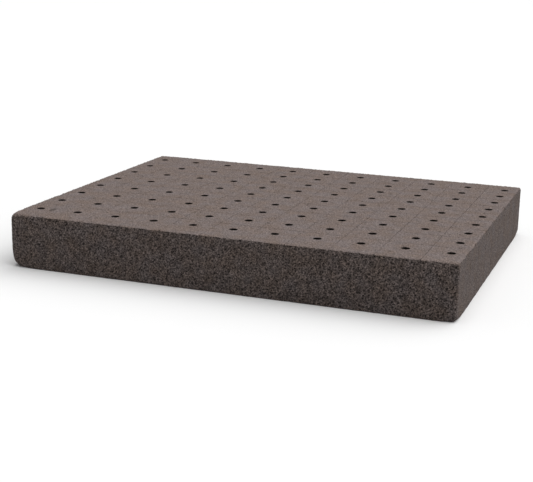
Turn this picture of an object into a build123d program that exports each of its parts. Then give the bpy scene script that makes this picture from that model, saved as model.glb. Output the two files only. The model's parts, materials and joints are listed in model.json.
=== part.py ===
"""Slit plant-propagation foam sheet: rows of small foam cells that fold open and snap apart.

The sheet lies on its underside. Narrow slits are cut down from the top face between the cells and
stop above the underside, where a thin web holds neighbouring cells together until it is snapped.
Every cell has one blind planting hole in its top.

+X runs along the long side, +Y from the front face to the back face, +Z up. The origin is the
centre of the underside. Lengths are in millimetres.
"""

import os

from build123d import *

# Cell grid
pitch = 28.575  # 1 1/8 in from hole to hole
thickness = 37.0  # 1 1/2 in nominal, a little under after slicing
columns = 11
even_rows = 8  # rows in each of the columns on the left, at one pitch
crowded_rows = 9  # rows in each of the remaining columns, closer together towards the back
even_columns = 4
row_bow = 0.025  # how far the crowded rows bow backwards halfway, as a share of the row span
loose_columns = 3  # columns at each end of the sheet whose cells fold one by one

# From the outermost holes to the sheet's faces
left_margin = 11.5
right_margin = 9.8
front_margin = 22.7
back_margin = 18.5

# Slits, and the web below them
web_height = 6.0
slit_width = 0.3
break_width = 0.1  # the web parts along this line
corner_radius = 2.0

# Planting holes
hole_radius = 2.5
hole_depth = 12.7

length = left_margin + (columns - 1) * pitch + right_margin
row_span = (even_rows - 1) * pitch
width = front_margin + row_span + back_margin


def rows_in(column):
    """How many cells a column has. Columns count from 0 at the left."""
    return even_rows if column < even_columns else crowded_rows


def hole_x(column):
    return -length / 2 + left_margin + column * pitch


def hole_y(column, row):
    """Rows count from 0 at the front. The bow is a parabola that leaves both end rows in place."""
    share = row / (rows_in(column) - 1)
    if column >= even_columns:
        share += 4 * row_bow * share * (1 - share)
    return -width / 2 + front_margin + share * row_span


def cell_sides(column, row, gap):
    """Left, right, front and back of a cell, with half the gap taken off each side that faces a slit."""
    left, right = hole_x(column) - pitch / 2 + gap / 2, hole_x(column) + pitch / 2 - gap / 2
    if column == 0:
        left = -length / 2
    if column == columns - 1:
        right = length / 2
    front, back = -width / 2, width / 2
    if row > 0:
        front = (hole_y(column, row - 1) + hole_y(column, row) + gap) / 2
    if row < rows_in(column) - 1:
        back = (hole_y(column, row) + hole_y(column, row + 1) - gap) / 2
    return left, right, front, back


def on_sheet_corner(edge):
    middle = edge @ 0.5
    return length / 2 - abs(middle.X) < slit_width and width / 2 - abs(middle.Y) < slit_width


def foam_piece(name, column, rows):
    """Cells of one column, each a solid of its own: a wider web below, the slit cell above."""
    with BuildPart() as piece:
        for bottom, top, gap in ((0, web_height, break_width), (web_height, thickness, slit_width)):
            with BuildSketch(Plane.XY.offset(bottom)):
                for row in rows:
                    left, right, front, back = cell_sides(column, row, gap)
                    with Locations(((left + right) / 2, (front + back) / 2)):
                        Rectangle(right - left, back - front)
            extrude(amount=top - bottom)
        with Locations(*[(hole_x(column), hole_y(column, row), thickness) for row in rows]):
            Hole(radius=hole_radius, depth=hole_depth)
        corners = piece.edges().filter_by(Axis.Z).filter_by(on_sheet_corner)
        if corners:
            fillet(corners, radius=corner_radius)
    piece.part.label = name
    export_step(piece.part, f"parts/{name}.step")
    return piece


os.makedirs("parts", exist_ok=True)

# The middle columns fold as whole strips, and the ones at both ends cell by cell from the front
for column in range(columns):
    if loose_columns <= column < columns - loose_columns:
        foam_piece(f"strip_{column + 1:02d}", column, range(rows_in(column)))
    else:
        for row in range(rows_in(column)):
            foam_piece(f"cell_{column + 1:02d}_{row + 1}", column, [row])
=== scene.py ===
"""Looks for the slit foam sheet: every CAD node is replaced by a foam piece with porous cut faces,
round planting holes and worn edges. Everything is in metres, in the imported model's frame."""

import json
import math

import bpy
import numpy as np
from mathutils import Matrix, Vector

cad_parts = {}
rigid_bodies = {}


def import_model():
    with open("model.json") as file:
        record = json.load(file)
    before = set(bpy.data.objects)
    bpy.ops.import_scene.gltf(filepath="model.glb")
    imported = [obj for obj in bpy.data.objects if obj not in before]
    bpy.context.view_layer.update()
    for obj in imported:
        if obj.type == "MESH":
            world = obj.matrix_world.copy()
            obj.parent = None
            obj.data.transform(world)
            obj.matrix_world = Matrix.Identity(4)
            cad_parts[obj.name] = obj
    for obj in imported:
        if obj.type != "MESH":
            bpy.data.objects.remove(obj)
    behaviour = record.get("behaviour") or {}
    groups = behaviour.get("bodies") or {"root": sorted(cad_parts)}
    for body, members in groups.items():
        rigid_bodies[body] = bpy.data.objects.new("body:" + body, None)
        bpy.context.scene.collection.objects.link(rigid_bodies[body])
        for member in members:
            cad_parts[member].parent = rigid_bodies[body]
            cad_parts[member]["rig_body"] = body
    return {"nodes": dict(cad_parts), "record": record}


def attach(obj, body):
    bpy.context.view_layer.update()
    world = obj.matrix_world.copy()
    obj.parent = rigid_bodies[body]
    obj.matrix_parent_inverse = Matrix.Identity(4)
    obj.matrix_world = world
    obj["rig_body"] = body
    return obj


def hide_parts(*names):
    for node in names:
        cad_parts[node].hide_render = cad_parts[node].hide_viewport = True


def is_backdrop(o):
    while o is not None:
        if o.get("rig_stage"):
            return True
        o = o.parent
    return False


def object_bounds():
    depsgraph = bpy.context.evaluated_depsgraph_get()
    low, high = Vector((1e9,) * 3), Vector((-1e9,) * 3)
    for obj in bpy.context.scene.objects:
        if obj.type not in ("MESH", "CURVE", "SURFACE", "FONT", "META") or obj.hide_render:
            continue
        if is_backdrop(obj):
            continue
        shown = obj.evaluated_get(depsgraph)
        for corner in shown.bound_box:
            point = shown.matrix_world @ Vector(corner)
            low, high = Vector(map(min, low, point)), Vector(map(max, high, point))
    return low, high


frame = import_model()
CAD_LOW, CAD_HIGH = (np.array(corner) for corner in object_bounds())

MM = 0.001
QUICK = 1

# Mesh steps
FINE = 0.42 * MM * QUICK  # the top and the sheet's own sides
WALL = 1.1 * MM * QUICK  # slit walls
UNDER = 1.6 * MM * QUICK  # underside
LIP = 0.4 * MM  # the first row of faces along every edge

# Slits, as they close up in the foam: left end and right end of the sheet
COLUMN_SLIT = (0.02 * MM, 0.06 * MM)
ROW_SLIT = 0.03 * MM

# Rounding. The front left corner is worn further than the others, most of all at the bottom
PLAN_CORNER = 2.0 * MM
WORN_PLAN_CORNER = 4.2 * MM
WORN_FOOT = 4.0 * MM  # added to it at the very bottom
FOOT_HEIGHT = 7.0 * MM
TOP_EDGE = 0.6 * MM
BOTTOM_EDGE = 1.0 * MM
CHIP = 1.6 * MM  # deepest chip out of the top edges
BOTTOM_CORNER_WEAR = (5.0 * MM, 3.0 * MM)  # added near the front left corner and near the others
TOP_CORNER_WEAR = (3.6 * MM, 0.6 * MM)
WEAR_REACH = 9.0 * MM
SLIT_EDGE = 0.2 * MM
HOLE_RIM = 0.3 * MM
HOLE_PATCH = 3.3 * MM  # half the side of the square of top mesh that a hole replaces
HOLE_POINTS = 14 // QUICK  # along each side of that square

# Bubbles in the foam, in millimetres: spacing, smallest radius, largest radius and seed
COARSE_PORES = (1.5, 0.28, 0.66, 1)
FINE_PORES = (0.9, 0.22, 0.43, 2)
PITS = (5.0, 0.5, 1.1, 6)
BIG_CHIPS = (3.6, 0.7, 1.6, 13)
SMALL_CHIPS = (1.9, 0.4, 0.9, 14)

# Waves in the foam, in millimetres: feature size and seed
GRAIN = (0.9, 3)
LONG_ROLL, SHORT_ROLL = (13, 4), (4, 5)
SKIN_FRAY = (1.5, 7)
LONG_EDGE_WAVE, SHORT_EDGE_WAVE = (6.0, 11), (2.2, 12)

# How far the waves and the small chips change an edge's radius, as shares
SHORT_WAVE_SHARE = 0.6
TOP_EDGE_SWING, BOTTOM_EDGE_SWING = 0.35, 0.3
SMALL_CHIP_SHARE = 0.7
SHARP_ANGLE = math.radians(55)  # edges steeper than this stay crisp

# How deep the foam is dug, in millimetres: cut faces, the brushed top and the crumbly top edges
COARSE_DEPTH, FINE_DEPTH, GRAIN_DEPTH, ROLL_DEPTH = 0.6, 0.35, 0.2, 0.12
SKIN_PORE_DEPTH, SKIN_PIT_DEPTH, SKIN_GRAIN_DEPTH, SKIN_ROLL_DEPTH = 0.08, 0.3, 0.12, 0.10
CRUMB_DEPTH, CRUMB_GRAIN_DEPTH = 0.7, 0.5

# How porous the faces are. The front and the back count as 1
SIDE_POROSITY = 0.5  # left and right end
WALL_POROSITY = 0.45  # slit walls and planting holes
POROSITY_SLOPE = 0.2  # more at the right end of the sheet, and less at the left
SLOPE_REACH = 150  # millimetres from the middle
SKIN_FRAY_SWING = 0.28  # how far the waves move the border of the brushed top
SKIN_BORDER = (0.35, 0.85)  # upward parts of a normal where the brushed top begins and is full

# How dark, from 0 to 1. Most of it is painted shade in hollows; a cut face's darkness is partly its own
# tone and partly painted shade
CUT_TONE_AND_SHADE, PORE_PAINTED_SHADE = 0.43, 0.57  # a cut face, partly the cut foam's own tone and partly painted shade that keeps every face but the top darker, and the painted shade that its deepest pores add
SIDE_PORE_SHARE = 0.4  # of a pore's painted shade that is left on faces to the left and right
HOLE_PAINTED_SHADE = 0.45  # painted shade added inside the planting holes
# Painted shade in the brushed top's pores and pits
SKIN_PORE_PAINTED_SHADE, SKIN_PIT_PAINTED_SHADE = 0.2, 0.45
ROW_SLIT_PAINTED_SHADE = 0.05  # painted shade beside the slits between rows

# A faint dark smudge a third of a cell to the right of the front left hole
SMUDGE_STEP = 1 / 3  # of the way to the next hole
SMUDGE_SIZE = (5, 12)  # millimetres across and in depth
SMUDGE_DARKNESS = 0.45

# Colour of the foam, and the tints at both ends of its blotches
FOAM = (0.178, 0.142, 0.130)
WARM_TINT, COOL_TINT = (1.04, 1, 0.95), (0.97, 1, 1.04)
BLOTCH_SWING, STREAK_SWING = 0.3, 1.1
GRAIN_CONTRAST, SKIN_CONTRAST_LOSS = 3.6, 0.9
# Painted shade in the pinholes, and how much less of it the brushed top has
PINHOLE_SHADE, SKIN_PINHOLE_GAIN = -0.4, 0.25
DARKEST_SHADE = 0.02

# Noise in the material: scale and detail
BLOTCH_NOISE, GRAIN_NOISE, STREAK_NOISE = (0.09, 4.0), (1.2, 2.0), (1.0, 3.0)
STREAK_SCALE = (1300, 420, 1300)  # per metre; the lowest is the direction the streaks run in
PINHOLES_PER_MM = 1.1

# Fine relief in the material
GRAIN_RELIEF, PINHOLE_RELIEF, STREAK_RELIEF = 0.5, -0.6, 0.35
RELIEF_DEPTH, RELIEF_STRENGTH = 0.35 * MM, 0.8

# Camera: its place in sheet lengths from the centre of the underside
CAMERA_PLACE = Vector((0.8893, -2.5422, 0.7187)) * float(CAD_HIGH[0] - CAD_LOW[0])
CAMERA_AZIMUTH, CAMERA_ELEVATION, CAMERA_ROLL = (math.radians(a) for a in (20.06, 14.58, 1.14))
CAMERA_LENS = 78.85

# Studio
SUN_STRENGTH, SUN_WIDTH, SUN_FROM = 2.95, math.radians(90), (0.55, 0.25, 1.0)
SURROUND_STRENGTH = 0.36
FLOOR_PALENESS, FLOOR_REACH = 0.88, 12.0


# ---------------------------------------------------------------- layout

HOLES = {}
for mount in frame["record"]["mounts"]:
    if mount["kind"] == "bore":
        column, row = (int(part) for part in mount["name"].split("_")[1:])
        HOLES[column, row] = np.array(mount["pos_m"][:2])
        HOLE_RADIUS = mount["dims"]["r_mm"] * MM
        HOLE_DEPTH = mount["dims"]["length_mm"] * MM
COLUMNS = max(column for column, row in HOLES)


def cells_of(node):
    """(column, row) of each cell of a node. Its name ends as its holes' names do: strip_04, cell_02_7."""
    own = [int(part) for part in node.split("_")[1:]]
    return sorted(cell for cell in HOLES if list(cell[: len(own)]) == own)


def column_slit(x):
    share = (x - CAD_LOW[0]) / (CAD_HIGH[0] - CAD_LOW[0])
    return COLUMN_SLIT[0] + (COLUMN_SLIT[1] - COLUMN_SLIT[0]) * share


def cell_box(cell):
    """A cell's lowest and highest corner: midway to the next holes, or out to the sheet's faces."""
    column, row = cell
    low, high = CAD_LOW.copy(), CAD_HIGH.copy()
    x, y = HOLES[cell]
    if column > 1:
        middle = (HOLES[column - 1, 1][0] + x) / 2
        low[0] = middle + column_slit(middle) / 2
    if column < COLUMNS:
        middle = (HOLES[column + 1, 1][0] + x) / 2
        high[0] = middle - column_slit(middle) / 2
    if row > 1:
        low[1] = (HOLES[column, row - 1][1] + y + ROW_SLIT) / 2
    if (column, row + 1) in HOLES:
        high[1] = (HOLES[column, row + 1][1] + y - ROW_SLIT) / 2
    return low, high


# ---------------------------------------------------------------- noise, in millimetres


def scrambled(lattice, seed):
    """32 random bits for each whole-number lattice point (..., 3)."""
    x, y, z = (lattice[..., axis].astype(np.uint32) for axis in range(3))
    bits = x * np.uint32(0x9E3779B1) ^ y * np.uint32(0x85EBCA77) ^ z * np.uint32(0xC2B2AE3D)
    bits ^= np.uint32(seed * 0x27D4EB2F & 0xFFFFFFFF)
    for shift, factor in ((15, 0x2C1B3C6D), (12, 0x297A2D39)):
        bits = (bits ^ bits >> np.uint32(shift)) * np.uint32(factor)
    return bits ^ bits >> np.uint32(15)


def bubbles(points, spacing, smallest, largest, seed):
    """How far inside a bubble each point lies: 0 outside, 1 at its centre. There is one bubble in each
    cube of the spacing, with a radius from smallest to largest, at most half the spacing."""
    scaled = points / spacing
    first = np.floor(scaled - 0.5).astype(np.int64)
    inside = np.zeros(len(points))
    for corner in np.ndindex(2, 2, 2):
        cube = first + corner
        bits = scrambled(cube, seed)
        places = np.stack([bits >> np.uint32(8 * byte) & np.uint32(255) for byte in range(4)], -1) / 255
        radius = (smallest + (largest - smallest) * places[:, 3]) / spacing
        reach = ((scaled - cube - places[:, :3]) ** 2).sum(-1) / radius**2
        inside = np.maximum(inside, 1 - reach)
    return inside


def waves(points, size, seed):
    """Smooth noise from -1 to 1 with features of about this size."""
    scaled = points / size
    first = np.floor(scaled).astype(np.int64)
    share = scaled - first
    share = share * share * (3 - 2 * share)
    total = np.zeros(len(points))
    for corner in np.ndindex(2, 2, 2):
        weight = np.prod(np.where(corner, share, 1 - share), axis=-1)
        total += weight * scrambled(first + corner, seed) / 0xFFFFFFFF
    return 2 * total - 1


def smooth(value, start, stop):
    """0 at start, 1 at stop, with a smooth step between."""
    share = np.clip((value - start) / (stop - start), 0, 1)
    return share * share * (3 - 2 * share)


# ---------------------------------------------------------------- building the mesh


class Shell:
    """Vertices and faces of closed surfaces while they are being built."""

    def __init__(self):
        self.points, self.quads, self.triangles, self.count = [], [], [], 0

    def add(self, points):
        """Adds an array of points (..., 3) and returns their numbers, in the same arrangement."""
        numbers = self.count + np.arange(points[..., 0].size).reshape(points.shape[:-1])
        self.points.append(points.reshape(-1, 3))
        self.count += numbers.size
        return numbers

    def cover(self, grid):
        """Quads over a grid of vertex numbers. They face along its first direction x its second."""
        quads = np.stack([grid[:-1, :-1], grid[1:, :-1], grid[1:, 1:], grid[:-1, 1:]], -1)
        self.quads.append(quads.reshape(-1, 4))

    def zip(self, outer, inner):
        """Triangles between two closed rings of (numbers, share of the way round)."""
        (outside, outside_at), (within, within_at) = outer, inner
        order = np.argsort(np.concatenate([outside_at[1:], within_at[1:]]), kind="stable")
        on_outer = order < len(outside) - 1
        i = np.cumsum(on_outer) - on_outer
        j = np.cumsum(~on_outer) - ~on_outer
        step_out = np.stack([outside[i], outside[np.minimum(i + 1, len(outside) - 1)], within[j]], -1)
        step_in = np.stack([outside[i], within[np.minimum(j + 1, len(within) - 1)], within[j]], -1)
        self.triangles.append(np.where(on_outer[:, None], step_out, step_in))

    def arrays(self):
        return (np.concatenate(part) for part in (self.points, self.quads, self.triangles))


def spaced(start, stop, step):
    return np.linspace(start, stop, max(1, round((stop - start) / step)) + 1)


def ring(sides):
    """Joins four sides of (numbers, positions) into a closed ring for Shell.zip."""
    numbers = [side[:-1] for side, along in sides] + [sides[0][0][:1]]
    at = [k + (along[:-1] - along[0]) / (along[-1] - along[0]) for k, (side, along) in enumerate(sides)]
    return np.concatenate(numbers), np.concatenate([*at, [4.0]])


def planting_hole(shell, square, centre, top):
    """Fills the ring of vertex numbers `square` with a rounded rim, a blind bore and its floor."""
    outline = np.concatenate(shell.points)[square]
    turn = np.radians(-135) + 2 * math.pi * np.arange(len(square)) / len(square)
    compass = np.stack([np.cos(turn), np.sin(turn), np.zeros(len(turn))], -1)
    middle = np.array([*centre, top])

    def circle(radius, depth):
        return middle + compass * radius - (0, 0, depth)

    rim = circle(HOLE_RADIUS + HOLE_RIM, 0)
    rings = [outline + (rim - outline) * share for share in (0.4, 0.75)] + [rim]
    for bend in np.radians((30, 60, 90)):
        across, down = 1 - math.sin(bend), 1 - math.cos(bend)
        rings.append(circle(HOLE_RADIUS + HOLE_RIM * across, HOLE_RIM * down))
    rings += [circle(HOLE_RADIUS, depth) for depth in spaced(HOLE_RIM, HOLE_DEPTH, 2 * FINE)[1:]]
    rings += [circle(HOLE_RADIUS * share, HOLE_DEPTH) for share in (0.8, 0.6, 0.4, 0.2)]
    stack = np.vstack([square, shell.add(np.array(rings))])
    stack = np.hstack([stack, stack[:, :1]])
    shell.cover(stack.T)
    tip = shell.add(middle[None] - (0, 0, HOLE_DEPTH))[0]
    last = stack[-1]
    shell.triangles.append(np.stack([last[:-1], last[1:], np.full(len(last) - 1, tip)], -1))


def add_cell(shell, low, high, hole):
    """A closed box of six grids, each with the step that its place needs, and the planting hole."""
    bounds = np.array([low, high])
    on_sheet = np.abs(bounds - [CAD_LOW, CAD_HIGH]) < 1e-6
    steps = np.where(on_sheet, FINE, WALL)
    steps[:, 2] = UNDER, FINE
    x_of, y_of, z_of = bounds.T
    corners = shell.add(np.array([[[(x, y, z) for z in z_of] for y in y_of] for x in x_of]))

    edges = {}
    for along in range(3):
        b, c = (along + 1) % 3, (along + 2) % 3
        for side_b, side_c in np.ndindex(2, 2):
            values = spaced(low[along], high[along], min(steps[side_b, b], steps[side_c, c]))
            points = np.zeros((len(values) - 2, 3))
            points[:, along] = values[1:-1]
            points[:, b], points[:, c] = bounds[side_b, b], bounds[side_c, c]
            place = [0, 0, 0]
            place[b], place[c] = side_b, side_c
            first = corners[tuple(place)]
            place[along] = 1
            last = corners[tuple(place)]
            edges[along, b, side_b, c, side_c] = (np.array([first, *shell.add(points), last]), values)

    def edge(along, other, other_side, axis, side):
        """The edge along one axis, on this side of each of the two others."""
        if (along + 1) % 3 == other:
            return edges[along, other, other_side, axis, side]
        return edges[along, axis, side, other, other_side]

    for axis in range(3):
        for side in (0, 1):
            u, v = (axis + 1) % 3, (axis + 2) % 3
            if side == 0:
                u, v = v, u
            step = steps[side, axis]
            top = axis == 2 and side == 1
            lines, cuts = [], []
            for direction in (u, v):
                start, stop = low[direction] + LIP, high[direction] - LIP
                if top:
                    near, far = hole[direction] - HOLE_PATCH, hole[direction] + HOLE_PATCH
                    before = spaced(start, near, step)
                    patch = np.linspace(near, far, HOLE_POINTS + 1)
                    lines.append(np.concatenate([before, patch[1:], spaced(far, stop, step)[1:]]))
                    cuts.append((len(before) - 1, len(before) - 1 + HOLE_POINTS))
                else:
                    lines.append(spaced(start, stop, step))
            points = np.zeros((len(lines[0]), len(lines[1]), 3))
            points[..., u], points[..., v] = np.meshgrid(*lines, indexing="ij")
            points[..., axis] = bounds[side, axis]
            grid = shell.add(points)
            if top:
                (i, k), (j, m) = cuts
                for block in (grid[: i + 1], grid[k:], grid[i : k + 1, : j + 1], grid[i : k + 1, m:]):
                    shell.cover(block)
                square = [grid[i:k, j], grid[k, j:m], grid[k:i:-1, m], grid[i, m:j:-1]]
                planting_hole(shell, np.concatenate(square), hole, high[2])
            else:
                shell.cover(grid)
            outer = [edge(u, v, 0, axis, side), edge(v, u, 1, axis, side)]
            for along, other in ((u, v), (v, u)):
                numbers, values = edge(along, other, 1 if along == u else 0, axis, side)
                outer.append((numbers[::-1], values[::-1]))
            inner = [(grid[:, 0], lines[0]), (grid[-1], lines[1])]
            inner += [(grid[::-1, -1], lines[0][::-1]), (grid[0, ::-1], lines[1][::-1])]
            shell.zip(ring(outer), ring(inner))


# ---------------------------------------------------------------- shaping the foam


def rounded(first, second, radius):
    """New distances from two faces that meet, with the square corner between them made round."""
    in_corner = (first < radius) & (second < radius)
    a, b = np.where(in_corner, radius - first, 1), np.where(in_corner, radius - second, 0)
    pull = np.maximum(a, b) / np.hypot(a, b)
    return np.where(in_corner, radius - a * pull, first), np.where(in_corner, radius - b * pull, second)


def at_front_left(points, there, elsewhere):
    return np.where((points[:, 0] < 0) & (points[:, 1] < 0), there, elsewhere)


def plan_corner(points):
    """Radius of the nearest of the sheet's four vertical edges, at each point's height."""
    foot = np.exp(-(((points[:, 2] - CAD_LOW[2]) / FOOT_HEIGHT) ** 2))
    return at_front_left(points, WORN_PLAN_CORNER + WORN_FOOT * foot, PLAN_CORNER)


def sheet_outline(points):
    """Distance inside the sheet's outline in plan, and the direction straight out of it."""
    half = CAD_HIGH[:2]
    sign = np.where(points[:, :2] < 0, -1.0, 1.0)
    gap = half - np.abs(points[:, :2])
    radius = plan_corner(points)
    toward = np.clip(radius[:, None] - gap, 0, None)
    in_corner = (toward > 0).all(1)
    reach = np.hypot(*toward.T)
    inset = np.where(in_corner, radius - reach, gap.min(1))
    straight = np.where(gap[:, :1] < gap[:, 1:], (1.0, 0.0), (0.0, 1.0))
    out = np.where(in_corner[:, None], toward / np.maximum(reach, 1e-9)[:, None], straight)
    return inset, out * sign


def round_edges(points, low, high):
    """Rounds the sheet's corners in plan, its worn outer edges, and the cell's edges along the slits."""
    half = CAD_HIGH[:2]
    sign = np.where(points[:, :2] < 0, -1.0, 1.0)
    gap = half - np.abs(points[:, :2])
    gap = np.stack(rounded(gap[:, 0], gap[:, 1], plan_corner(points)), -1)
    points[:, :2] = sign * (half - gap)

    place = points / MM
    rough = waves(place, *LONG_EDGE_WAVE) + SHORT_WAVE_SHARE * waves(place, *SHORT_EDGE_WAVE)
    to_corner = np.hypot(*(half - np.abs(points[:, :2])).T)
    near_corner = np.exp(-((to_corner / WEAR_REACH) ** 2))
    small_chips = SMALL_CHIP_SHARE * bubbles(place, *SMALL_CHIPS)
    chips = CHIP * np.maximum(bubbles(place, *BIG_CHIPS), small_chips)
    top_wear = at_front_left(points, *TOP_CORNER_WEAR) * near_corner + chips
    bottom_wear = at_front_left(points, *BOTTOM_CORNER_WEAR) * near_corner
    top_radius = TOP_EDGE * (1 + TOP_EDGE_SWING * rough) + top_wear
    bottom_radius = BOTTOM_EDGE * (1 + BOTTOM_EDGE_SWING * rough) + bottom_wear
    for level, away, radius in ((CAD_HIGH[2], -1, top_radius), (CAD_LOW[2], 1, bottom_radius)):
        inset, out = sheet_outline(points)
        height = away * (points[:, 2] - level)
        new_inset, new_height = rounded(inset, height, radius)
        points[:, :2] -= out * (new_inset - inset)[:, None]
        points[:, 2] = level + away * new_height

    for axis in (0, 1):
        for side, level, away in ((low, CAD_LOW, 1), (high, CAD_HIGH, -1)):
            if side[axis] != level[axis]:
                across = away * (points[:, axis] - side[axis])
                across, height = rounded(across, CAD_HIGH[2] - points[:, 2], SLIT_EDGE)
                points[:, axis] = side[axis] + away * across
                points[:, 2] = CAD_HIGH[2] - height
    return points


def normals_of(points, quads, triangles):
    """Unit normals at the vertices, each face counting by its area."""
    total = np.zeros_like(points)
    a, b, c, d = (points[quads[:, k]] for k in range(4))
    first, second, third = (points[triangles[:, k]] for k in range(3))
    crosses = [(quads, c - a, d - b), (triangles, second - first, third - first)]
    for faces, one, other in crosses:
        cross = np.cross(one, other)
        for corner in range(faces.shape[1]):
            for axis in range(3):
                total[:, axis] += np.bincount(faces[:, corner], cross[:, axis], len(points))
    return total / np.maximum(np.linalg.norm(total, axis=1), 1e-15)[:, None]


def dig_pores(points, normals, low, high, hole):
    """Moves the surface inwards where it is porous or crumbled. Returns the points, and for each one how
    dark it is and how much it belongs to the brushed top."""
    place = points / MM
    inset, out = sheet_outline(points)
    skin = smooth(normals[:, 2] + SKIN_FRAY_SWING * waves(place, *SKIN_FRAY), *SKIN_BORDER)
    outer = smooth((normals[:, :2] * out).sum(1), 0.2, 0.6) * (inset < 2 * MM) * (1 - skin)
    from_hole = np.hypot(*(points[:, :2] - hole).T) - HOLE_RADIUS
    # in_hole marks the planting hole's wall: no brushed top there, and painted shade in its colour
    in_hole = 1 - smooth(from_hole, 0.1 * MM, 0.5 * MM)
    skin = skin * (1 - in_hole)
    wall = 1 - np.maximum(outer, skin)
    to_edge = np.minimum(np.minimum(inset, CAD_HIGH[2] - points[:, 2]), points[:, 2] - CAD_LOW[2])
    facing_front = normals[:, 1] ** 2  # or the back

    coarse, fine, pits = (bubbles(place, *kind) for kind in (COARSE_PORES, FINE_PORES, PITS))
    grain = 0.5 + 0.5 * waves(place, *GRAIN)
    rolling = 0.5 + 0.3 * waves(place, *LONG_ROLL) + 0.2 * waves(place, *SHORT_ROLL)

    rightward = np.clip(place[:, 0] / SLOPE_REACH, -1, 1)
    porous = outer * (SIDE_POROSITY + (1 - SIDE_POROSITY) * facing_front) * (1 + POROSITY_SLOPE * rightward)
    porous += wall * WALL_POROSITY * smooth(to_edge, 0.0, 2.5 * MM)
    dug = COARSE_DEPTH * coarse + FINE_DEPTH * fine + GRAIN_DEPTH * grain + ROLL_DEPTH * rolling
    dug_skin = SKIN_PORE_DEPTH * coarse + SKIN_PORE_DEPTH * fine + SKIN_PIT_DEPTH * pits
    dug_skin = dug_skin + SKIN_GRAIN_DEPTH * grain + SKIN_ROLL_DEPTH * rolling
    depth = porous * dug + skin * dug_skin
    to_top_edge = np.maximum(inset, CAD_HIGH[2] - points[:, 2])
    crumbs = CRUMB_DEPTH * coarse + CRUMB_GRAIN_DEPTH * grain
    depth += (1 - smooth(to_top_edge, 0.5 * MM, 2.0 * MM)) * crumbs
    points = points - normals * (depth * MM)[:, None]

    # How far into a pore each point is, for the painted shade in the pores
    pore = np.sqrt(np.maximum(coarse, 0.6 * fine))
    # The pores' painted shade is weaker on the left and right ends than on the front and back
    pore_shows = SIDE_PORE_SHARE + (1 - SIDE_PORE_SHARE) * facing_front
    # Painted shade in the pores and inside the planting hole, on top of the cut faces' darkness, which is
    # partly their own tone and partly painted shade
    dark = (1 - skin) * (CUT_TONE_AND_SHADE + PORE_PAINTED_SHADE * pore * pore_shows) + HOLE_PAINTED_SHADE * in_hole
    # Painted shade in the brushed top's pores and pits
    dark += skin * (SKIN_PORE_PAINTED_SHADE * pore + SKIN_PIT_PAINTED_SHADE * np.sqrt(pits))
    smudge = HOLES[1, 1] + SMUDGE_STEP * (HOLES[2, 1] - HOLES[1, 1])
    share = np.hypot(*((points[:, :2] - smudge) / MM / SMUDGE_SIZE).T)
    dark += skin * SMUDGE_DARKNESS * (1 - smooth(share, 0.2, 0.6))
    # Painted shade in a band beside the slits between rows
    across = np.minimum(points[:, 1] - low[1], high[1] - points[:, 1])
    beside_slit = (1 - smooth(across, 0.2 * MM, 1.4 * MM)) * (inset > 3 * MM)
    dark += skin * ROW_SLIT_PAINTED_SHADE * beside_slit
    return points, np.clip(dark, 0, 1), skin


def foam_piece(node, material):
    """The visible piece for a CAD node: its cells, each a closed surface."""
    parts, dark, skin, count = [], [], [], 0
    for cell in cells_of(node):
        shell = Shell()
        low, high = cell_box(cell)
        add_cell(shell, low, high, HOLES[cell])
        points, quads, triangles = shell.arrays()
        points = round_edges(points, low, high)
        points, darkness, top = dig_pores(
            points, normals_of(points, quads, triangles), low, high, HOLES[cell]
        )
        parts.append((points, quads + count, triangles + count))
        dark.append(darkness)
        skin.append(top)
        count += len(points)
    points, quads, triangles = (np.concatenate(part) for part in zip(*parts))

    mesh = bpy.data.meshes.new(f"{node}_foam")
    loops = np.concatenate([quads.ravel(), triangles.ravel()])
    starts = np.concatenate([4 * np.arange(len(quads)), 4 * len(quads) + 3 * np.arange(len(triangles))])
    mesh.vertices.add(len(points))
    mesh.vertices.foreach_set("co", points.astype(np.float32).ravel())
    mesh.loops.add(len(loops))
    mesh.loops.foreach_set("vertex_index", loops.astype(np.int32))
    mesh.polygons.add(len(starts))
    mesh.polygons.foreach_set("loop_start", starts.astype(np.int32))
    mesh.update(calc_edges=True)
    mesh.shade_smooth()
    mesh.set_sharp_from_angle(angle=SHARP_ANGLE)
    for name, values in (("dark", dark), ("skin", skin)):
        layer = mesh.attributes.new(name, "FLOAT", "POINT")
        layer.data.foreach_set("value", np.concatenate(values).astype(np.float32))
    mesh.materials.append(material)

    piece = bpy.data.objects.new(f"{node}_foam", mesh)
    bpy.context.scene.collection.objects.link(piece)
    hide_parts(node)
    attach(piece, frame["nodes"][node]["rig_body"])


# ---------------------------------------------------------------- materials


class Nodes:
    """A material's node tree, with one call for each node."""

    def __init__(self, name):
        self.material = bpy.data.materials.new(name)
        self.material.use_nodes = True
        self.tree = self.material.node_tree
        self.shader = self.tree.nodes["Principled BSDF"]

    def add(self, kind, output=0, inputs=(), **settings):
        """Adds a node and returns one of its outputs. inputs are (socket, value or output) pairs."""
        node = self.tree.nodes.new(kind)
        for name, value in settings.items():
            setattr(node, name, value)
        for socket, value in inputs:
            self.set(node.inputs[socket], value)
        return node.outputs[output]

    def set(self, socket, value):
        if isinstance(value, bpy.types.NodeSocket):
            self.tree.links.new(value, socket)
        else:
            socket.default_value = value

    def math(self, operation, *values):
        return self.add("ShaderNodeMath", inputs=enumerate(values), operation=operation)

    def swing(self, value, amount):
        """A factor around 1: 1 + amount x (value - 0.5)."""
        return self.math("MULTIPLY_ADD", value, amount, 1 - amount / 2)


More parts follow.
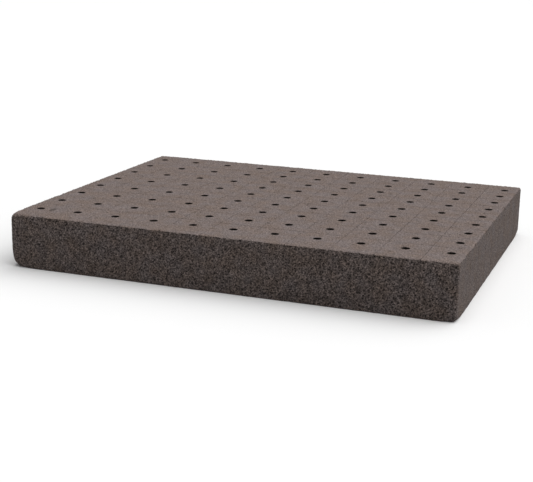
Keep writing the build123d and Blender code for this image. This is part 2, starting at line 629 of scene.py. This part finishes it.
def foam_material():
    nodes = Nodes("foam")
    place = nodes.add("ShaderNodeTexCoord", "Object")
    millimetres = nodes.add("ShaderNodeMapping", inputs=[("Vector", place), ("Scale", (1000,) * 3)])
    brushed = nodes.add("ShaderNodeMapping", inputs=[("Vector", place), ("Scale", STREAK_SCALE)])
    dark = nodes.add("ShaderNodeAttribute", "Fac", attribute_name="dark")
    skin = nodes.add("ShaderNodeAttribute", "Fac", attribute_name="skin")

    def noise(vector, scale, detail):
        inputs = [("Vector", vector), ("Scale", scale), ("Detail", detail)]
        return nodes.add("ShaderNodeTexNoise", "Fac", inputs)

    blotches = noise(millimetres, *BLOTCH_NOISE)
    grain = noise(millimetres, *GRAIN_NOISE)
    streaks = noise(brushed, *STREAK_NOISE)
    pinholes = nodes.add(
        "ShaderNodeTexVoronoi",
        "Distance",
        inputs=[("Vector", millimetres), ("Scale", PINHOLES_PER_MM), ("Randomness", 1.0)],
    )
    open_pore = nodes.add(
        "ShaderNodeMapRange",
        inputs=[
            ("Value", pinholes),
            ("From Min", 0.15),
            ("From Max", 0.5),
            ("To Min", 1.0),
            ("To Max", 0.0),
        ],
    )

    grain_strength = nodes.math("MULTIPLY_ADD", skin, -SKIN_CONTRAST_LOSS, GRAIN_CONTRAST)
    shade = nodes.math("MULTIPLY_ADD", nodes.math("SUBTRACT", grain, 0.5), grain_strength, 1.0)
    shade = nodes.math("MULTIPLY", shade, nodes.swing(blotches, BLOTCH_SWING))
    shade = nodes.math("MULTIPLY", shade, nodes.swing(streaks, STREAK_SWING))
    # Painted shade in the pinholes, less of it on the brushed top
    pinhole_shade = nodes.math("MULTIPLY_ADD", skin, SKIN_PINHOLE_GAIN, PINHOLE_SHADE)
    pore_loss = nodes.math("MULTIPLY_ADD", open_pore, pinhole_shade, 1.0)
    shade = nodes.math("MULTIPLY", shade, pore_loss)
    # The dark attribute: painted shade in pores, pits, holes and beside the row slits, the cut faces' own
    # tone with painted shade, and a smudge
    shade = nodes.math("MULTIPLY", shade, nodes.math("SUBTRACT", 1.0, dark))
    shade = nodes.math("MAXIMUM", shade, DARKEST_SHADE)

    hue = nodes.add("ShaderNodeValToRGB", "Color", inputs=[("Fac", blotches)])
    ramp = hue.node.color_ramp
    for element, tint in zip(ramp.elements, (WARM_TINT, COOL_TINT)):
        element.color = (*(level * share for level, share in zip(FOAM, tint)), 1)
    ramp.elements[0].position, ramp.elements[1].position = 0.35, 0.65
    colour = nodes.add("ShaderNodeVectorMath", inputs=[(0, hue), ("Scale", shade)], operation="SCALE")

    relief = nodes.math("MULTIPLY", open_pore, PINHOLE_RELIEF)
    relief = nodes.math("MULTIPLY_ADD", grain, GRAIN_RELIEF, relief)
    relief = nodes.math("MULTIPLY_ADD", streaks, STREAK_RELIEF, relief)
    bump = nodes.add(
        "ShaderNodeBump",
        "Normal",
        inputs=[("Height", relief), ("Strength", RELIEF_STRENGTH), ("Distance", RELIEF_DEPTH)],
    )

    nodes.set(nodes.shader.inputs["Base Color"], colour)
    nodes.set(nodes.shader.inputs["Roughness"], nodes.math("MULTIPLY_ADD", grain, 0.15, 0.85))
    nodes.set(nodes.shader.inputs["Specular IOR Level"], 0.15)
    nodes.set(nodes.shader.inputs["Normal"], bump)
    return nodes.material


def floor_material():
    nodes = Nodes("floor")
    nodes.set(nodes.shader.inputs["Base Color"], (FLOOR_PALENESS,) * 3 + (1,))
    nodes.set(nodes.shader.inputs["Roughness"], 0.95)
    nodes.set(nodes.shader.inputs["Specular IOR Level"], 0.1)
    return nodes.material


# ---------------------------------------------------------------- studio


def make_floor():
    turns = ((-1, -1), (1, -1), (1, 1), (-1, 1))
    mesh = bpy.data.meshes.new("floor")
    mesh.from_pydata([(FLOOR_REACH * x, FLOOR_REACH * y, 0) for x, y in turns], [], [(0, 1, 2, 3)])
    mesh.materials.append(floor_material())
    floor = bpy.data.objects.new("floor", mesh)
    bpy.context.scene.collection.objects.link(floor)
    floor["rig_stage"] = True


def make_light():
    """A wide soft light from high up on the right and a little behind, and a pale surround."""
    sun = bpy.data.lights.new("softbox", "SUN")
    sun.energy = SUN_STRENGTH
    sun.angle = SUN_WIDTH
    lamp = bpy.data.objects.new("softbox", sun)
    bpy.context.scene.collection.objects.link(lamp)
    lamp.rotation_mode = "QUATERNION"
    lamp.rotation_quaternion = Vector(SUN_FROM).to_track_quat("Z", "Y")

    world = bpy.data.worlds.new("surround")
    world.use_nodes = True
    background = world.node_tree.nodes["Background"]
    background.inputs["Color"].default_value = (1, 1, 1, 1)
    background.inputs["Strength"].default_value = SURROUND_STRENGTH
    bpy.context.scene.world = world
    bpy.context.scene.view_settings.view_transform = "Standard"


def make_camera():
    azimuth, elevation, roll = CAMERA_AZIMUTH, CAMERA_ELEVATION, CAMERA_ROLL
    right = Vector((math.cos(azimuth), math.sin(azimuth), 0))
    level = math.cos(elevation)
    back = Vector((math.sin(azimuth) * level, -math.cos(azimuth) * level, math.sin(elevation)))
    up = back.cross(right)
    axes = (
        math.cos(roll) * right + math.sin(roll) * up,
        math.cos(roll) * up - math.sin(roll) * right,
        back,
    )
    camera = bpy.data.objects.new("camera", bpy.data.cameras.new("camera"))
    camera.data.lens = CAMERA_LENS
    camera.data.clip_start, camera.data.clip_end = 0.05, 50
    camera.matrix_world = Matrix.Translation(CAMERA_PLACE) @ Matrix(axes).transposed().to_4x4()
    bpy.context.scene.collection.objects.link(camera)
    bpy.context.scene.camera = camera


make_camera()
make_light()
make_floor()
foam = foam_material()
for node in sorted(frame["nodes"]):
    foam_piece(node, foam)
